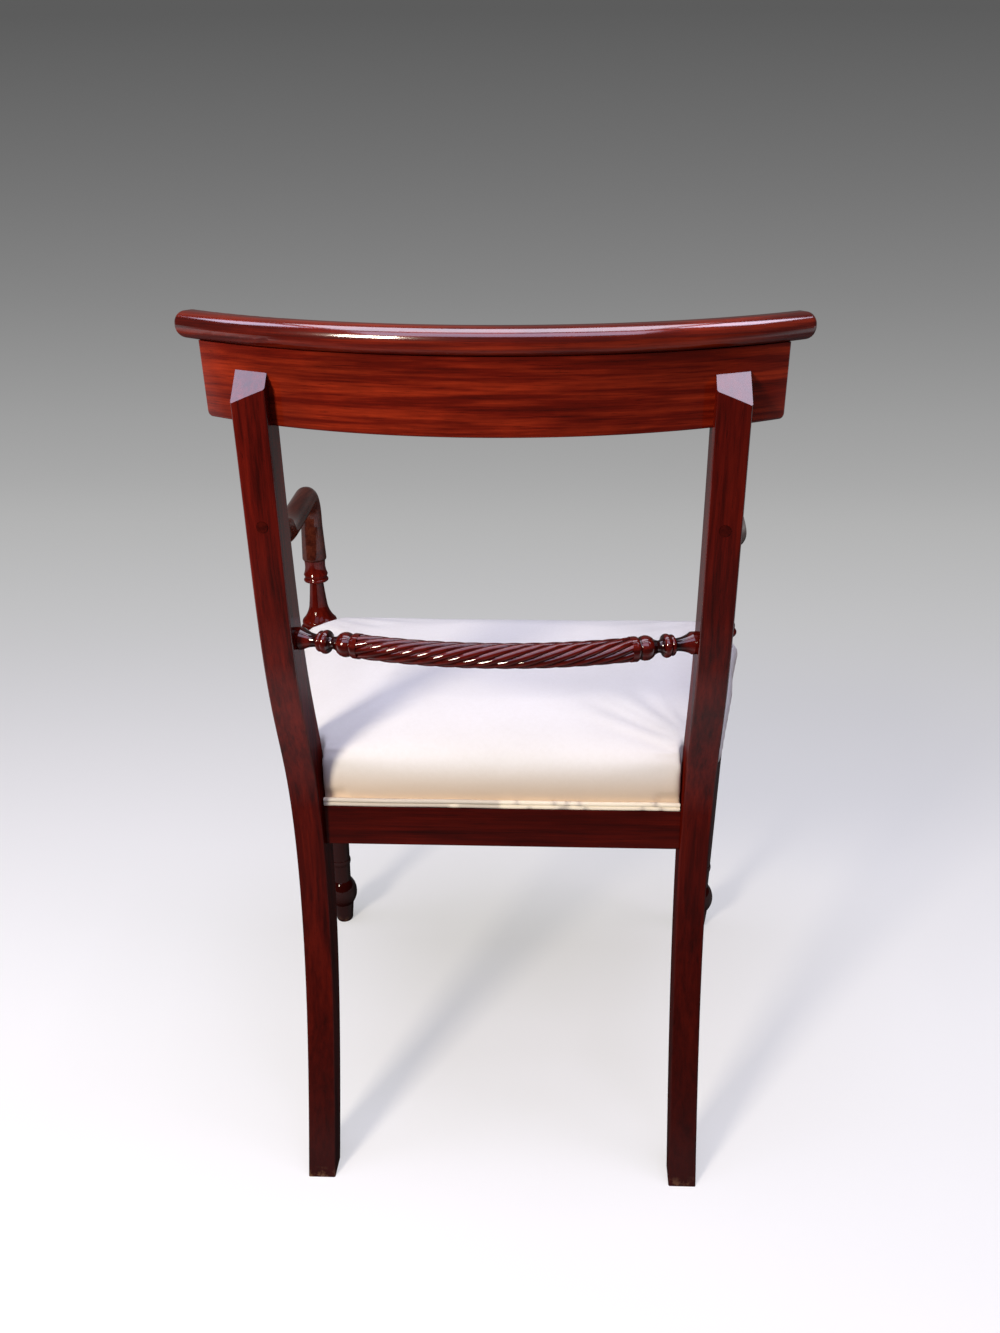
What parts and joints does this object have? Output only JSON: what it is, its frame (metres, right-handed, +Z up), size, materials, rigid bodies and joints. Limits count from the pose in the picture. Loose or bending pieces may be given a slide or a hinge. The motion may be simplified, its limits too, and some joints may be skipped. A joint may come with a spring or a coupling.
{
  "type": "open armchair",
  "caption": "Open desk armchair in red mahogany with sabre rear legs, curved crest, rope-carved back rail, downswept arms and a pale padded seat.",
  "frame": {"origin": "on the floor, under the middle of the chair's outline", "axes": "+Z up, +X to the sitter's left, -Y the way the sitter faces"},
  "size_m": [0.546, 0.4718, 0.8548],
  "materials": {
    "mahogany": "glossy french polish",
    "brace_beech": "raw",
    "cover_cotton": "plain weave",
    "piping_cotton": "twisted cord",
    "webbing_jute": "coarse weave",
    "hessian": "open weave",
    "stuffing_hair": "matted fibre",
    "screw_steel": "plain",
    "tack_iron": "blued"
  },
  "bodies": {
    "root": {"arm_left": "mahogany", "arm_post_left": "mahogany", "arm_post_right": "mahogany", "arm_right": "mahogany", "arm_screw_plugs": "mahogany", "arm_screws": "screw_steel", "back_seat_rail": "mahogany", "corner_brace_front_left": "brace_beech", "corner_brace_front_right": "brace_beech", "corner_brace_rear_left": "brace_beech", "corner_brace_rear_right": "brace_beech", "corner_brace_screws": "screw_steel", "crest_dowels": "mahogany", "crest_panel": "mahogany", "crest_roll": "mahogany", "front_leg_left": "mahogany", "front_leg_right": "mahogany", "front_seat_rail": "mahogany", "rear_leg_left": "mahogany", "rear_leg_right": "mahogany", "rope_rail": "mahogany", "seat_cover": "cover_cotton", "seat_hessian": "hessian", "seat_piping_back": "piping_cotton", "seat_piping_front": "piping_cotton", "seat_piping_left": "piping_cotton", "seat_piping_right": "piping_cotton", "seat_stuffing": "stuffing_hair", "side_seat_rail_left": "mahogany", "side_seat_rail_right": "mahogany", "webbing_crosswise": "webbing_jute", "webbing_lengthwise": "webbing_jute", "webbing_tacks": "tack_iron"}
  },
  "joints": []
}
